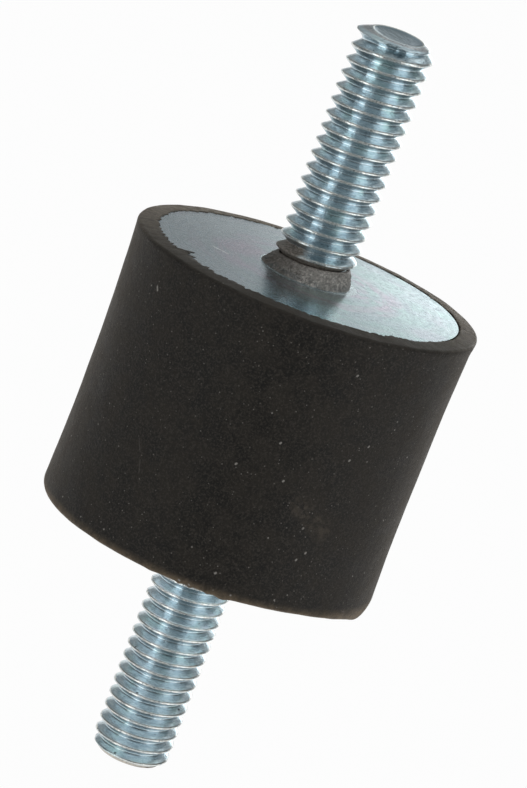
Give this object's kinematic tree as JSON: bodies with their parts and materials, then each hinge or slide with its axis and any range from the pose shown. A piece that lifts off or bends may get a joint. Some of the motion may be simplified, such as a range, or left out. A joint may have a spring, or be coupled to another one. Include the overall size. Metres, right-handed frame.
{
  "type": "bobbin vibration mount",
  "caption": "Cylindrical rubber vibration mount with a metal plate and a coaxial threaded stud at each end.",
  "frame": {"origin": "centre of the lower seating face, on the mount's axis", "axes": "+Z along the mount's axis, from the lower stud to the upper one; X and Y are any two radial directions"},
  "size_m": [0.0252, 0.0252, 0.0561],
  "materials": {
    "rubber": "matt moulded rubber with a little dust",
    "rubber_flash": "rough moulding flash, dusty",
    "zinc_plated_steel": "bright zinc plate, finely turned",
    "zinc_plated_thread": "bright zinc plate on a rolled thread"
  },
  "bodies": {
    "root": {"rubber_body": "rubber", "upper_plate": "zinc_plated_steel", "lower_plate": "zinc_plated_steel", "upper_stud": "zinc_plated_thread", "lower_stud": "zinc_plated_thread", "upper_collar": "rubber_flash", "lower_collar": "rubber_flash"}
  },
  "joints": []
}
